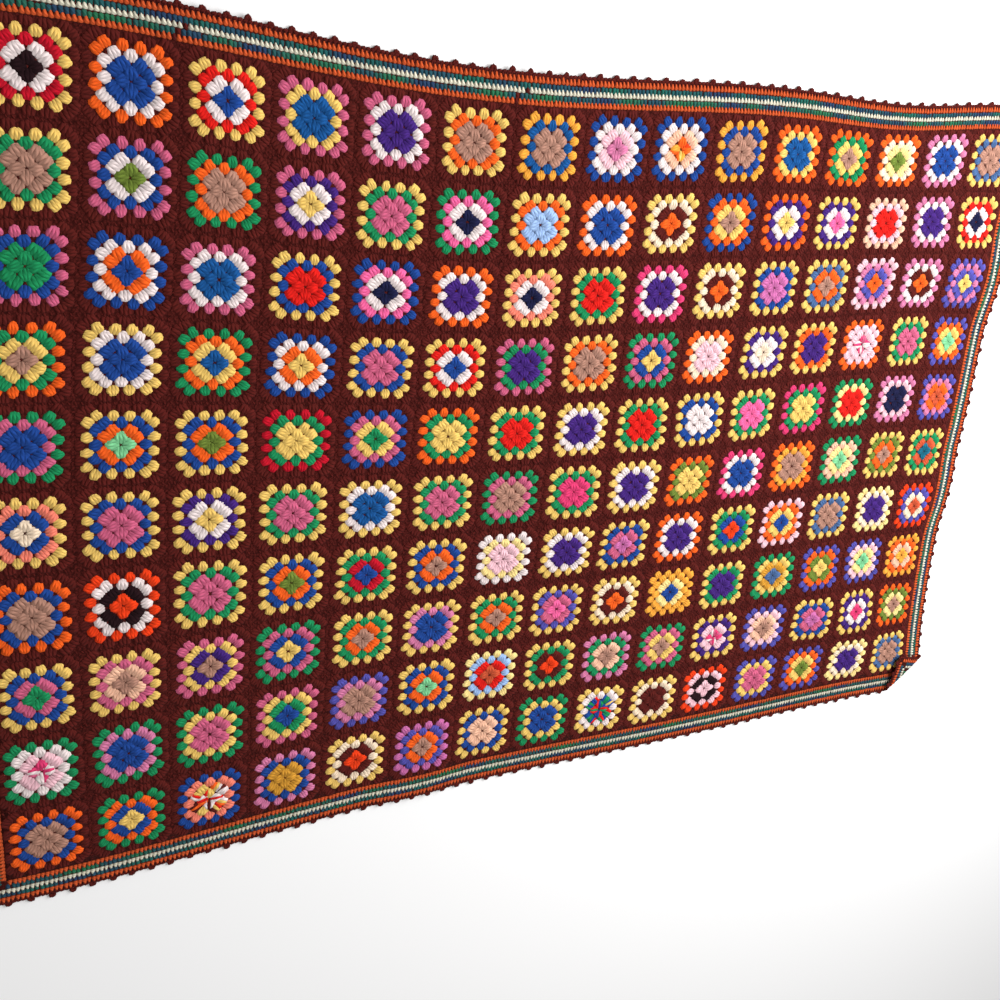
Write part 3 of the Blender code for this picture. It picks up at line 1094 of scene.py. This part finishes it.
class BLANKET_OT_edging(bpy.types.Operator):
    """Crochet the brown last round with its picots"""

    bl_idname = "blanket.edging"
    bl_label = "Picot edging"

    def execute(self, context):
        sizes = context.scene.blanket_sizes
        rng = np.random.default_rng(EDGING_SEED)
        brown = plain_colours()["brown"]
        batches = [part(sizes, rng, brown) for part in (self.posts, self.chain, self.picots)]
        piece = join_copies("picot_round", batches, once("edging_wool", yarn_material))
        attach(piece, BODY)
        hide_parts("picot_edging")
        return {"FINISHED"}

    def batch(self, strand, feet, turns, width, sizes, rng, brown):
        count = len(feet)
        stretch = rng.normal(1.0, UNEVEN_PICOT.size, (count, 3)) * (width, 1.0, 1.0)
        placed = place_strands(strand, feet, turns, stretch, np.full(count, sizes.middle))
        tints = np.tile(brown, (count, 1))
        shade = rng.normal(BROWN_SHADE, UNEVEN_PICOT.shade, count)
        return Batch(strand, placed, tint_strands(strand, tints, shade, "plain"))

    def posts(self, sizes, rng, brown):
        """Brown stitches worked in between the outer orange ones."""
        part = EDGING_POST
        feet, turns, _ = ring_posts(BAND_WIDTH + part.start, sizes.post_pitch, between=True)
        strand = model_strand(SMALL_STITCH, THIN_STRAND_SIDES, part.length)
        return self.batch(strand, feet, turns, part.width, sizes, rng, brown)

    def chain(self, sizes, rng, brown):
        """The tops of those stitches, a chain along the edge."""
        part = EDGING_CHAIN
        feet, turns, _ = ring_posts(BAND_WIDTH + part.start, sizes.post_pitch)
        strand = model_strand(SIMPLE_STRAND, THIN_STRAND_SIDES, part.length)
        turns = turns + CHAIN_TURN
        feet = feet - part.length / 2 * directions(turns)
        return self.batch(strand, feet, turns, part.width, sizes, rng, brown)

    def picots(self, sizes, rng, brown):
        """Each picot is a low mound of three strands gathered at its top."""
        part = EDGING_PICOT
        half = ring_half(BAND_WIDTH + part.start)
        strand = model_strand(SIMPLE_STRAND, STRAND_SIDES, part.length)
        feet, turns = [], []
        for turned, outward in enumerate(OUTWARD):
            count = PICOTS[turned % 2]
            aside = np.array([math.cos(outward), -math.sin(outward)])
            for picot in range(count):
                spot = np.array(side_to_ring((picot + 0.5) / count, 0.0, turned, half, half))
                spot += rng.normal(0.0, UNEVEN_PICOT.foot, 2)
                tilt = rng.normal(0.0, UNEVEN_PICOT.turn)
                for side in (-1, 0, 1):
                    feet.append(spot + side * PICOT_SIDE * aside)
                    turns.append(outward + tilt - side * PICOT_LEAN)
        return self.batch(strand, np.array(feet), np.array(turns), part.width, sizes, rng, brown)


class BLANKET_OT_declare(bpy.types.Operator):
    """Does nothing: no piece is declared as a sheet of cloth"""

    bl_idname = "blanket.declare"
    bl_label = "Declare sheets"

    def execute(self, context):
        return {"FINISHED"}


# ---- The stage ----


def aim(thing, target):
    thing.rotation_euler = (Vector(target) - thing.location).to_track_quat("-Z", "Y").to_euler()


class BLANKET_OT_stage(bpy.types.Operator):
    """Set up the pale floor, the soft lights and the camera"""

    bl_idname = "blanket.stage"
    bl_label = "Stage"

    def execute(self, context):
        settings = context.scene.blanket_stage
        self.floor(settings)
        self.lights(context.scene, settings)
        self.camera(context.scene)
        context.scene.view_settings.view_transform = "Standard"
        return {"FINISHED"}

    def floor(self, settings):
        deselect_all()
        bpy.ops.mesh.primitive_plane_add(size=settings.floor_side, location=(0.0, 0.0, FLOOR_HEIGHT))
        floor = bpy.context.object
        floor.name = "floor"
        material = bpy.data.materials.new("pale_floor")
        material.use_nodes = True
        shader = material.node_tree.nodes["Principled BSDF"]
        shader.inputs["Base Color"].default_value = FLOOR_COLOUR
        shader.inputs["Roughness"].default_value = 0.9
        floor.data.materials.append(material)

    def lights(self, scene, settings):
        world = bpy.data.worlds.new("soft_room")
        world.use_nodes = True
        background = world.node_tree.nodes["Background"]
        background.inputs["Color"].default_value = ROOM_COLOUR
        background.inputs["Strength"].default_value = settings.fill_strength
        scene.world = world
        lamp = bpy.data.lights.new("key", "AREA")
        lamp.energy = settings.key_power
        lamp.size = KEY_SIZE
        key = bpy.data.objects.new("key", lamp)
        key.location = KEY_PLACE
        aim(key, KEY_TARGET)
        scene.collection.objects.link(key)

    def camera(self, scene):
        lens = bpy.data.cameras.new("camera")
        lens.sensor_width = 36.0
        lens.lens = CAMERA_LENS
        lens.shift_y = CAMERA_SHIFT
        lens.clip_start = 0.01
        camera = bpy.data.objects.new("camera", lens)
        camera.location = CAMERA_PLACE
        camera.rotation_euler = [math.radians(turn) for turn in CAMERA_TURNS]
        scene.collection.objects.link(camera)
        scene.camera = camera


class BLANKET_PT_panel(bpy.types.Panel):
    """The blanket's pieces, in the order in which they are made"""

    bl_idname = "BLANKET_PT_panel"
    bl_label = "Granny Square Blanket"
    bl_space_type = "VIEW_3D"
    bl_region_type = "UI"
    bl_category = "Blanket"

    def draw(self, context):
        for operator in OPERATORS:
            self.layout.operator(operator.bl_idname)
        for group in ("blanket_sizes", "blanket_yarns", "blanket_stage"):
            settings = getattr(context.scene, group)
            box = self.layout.box()
            for name in type(settings).__annotations__:
                box.prop(settings, name)


OPERATORS = (
    BLANKET_OT_field_ground,
    BLANKET_OT_border_ground,
    BLANKET_OT_squares,
    BLANKET_OT_joins,
    BLANKET_OT_border,
    BLANKET_OT_edging,
    BLANKET_OT_declare,
    BLANKET_OT_stage,
)
GROUPS = {"blanket_sizes": StitchSizes, "blanket_yarns": YarnColours, "blanket_stage": StageSettings}


def register():
    for kind in (*GROUPS.values(), *OPERATORS, BLANKET_PT_panel):
        bpy.utils.register_class(kind)
    for name, kind in GROUPS.items():
        setattr(bpy.types.Scene, name, PointerProperty(type=kind))


def unregister():
    for name in GROUPS:
        delattr(bpy.types.Scene, name)
    for kind in (BLANKET_PT_panel, *reversed(OPERATORS), *GROUPS.values()):
        bpy.utils.unregister_class(kind)


def main():
    register()
    bpy.ops.blanket.field_ground()
    bpy.ops.blanket.border_ground()
    bpy.ops.blanket.squares()
    bpy.ops.blanket.joins()
    bpy.ops.blanket.border()
    bpy.ops.blanket.edging()
    bpy.ops.blanket.declare()
    bpy.ops.blanket.stage()


if __name__ == "__main__":
    main()
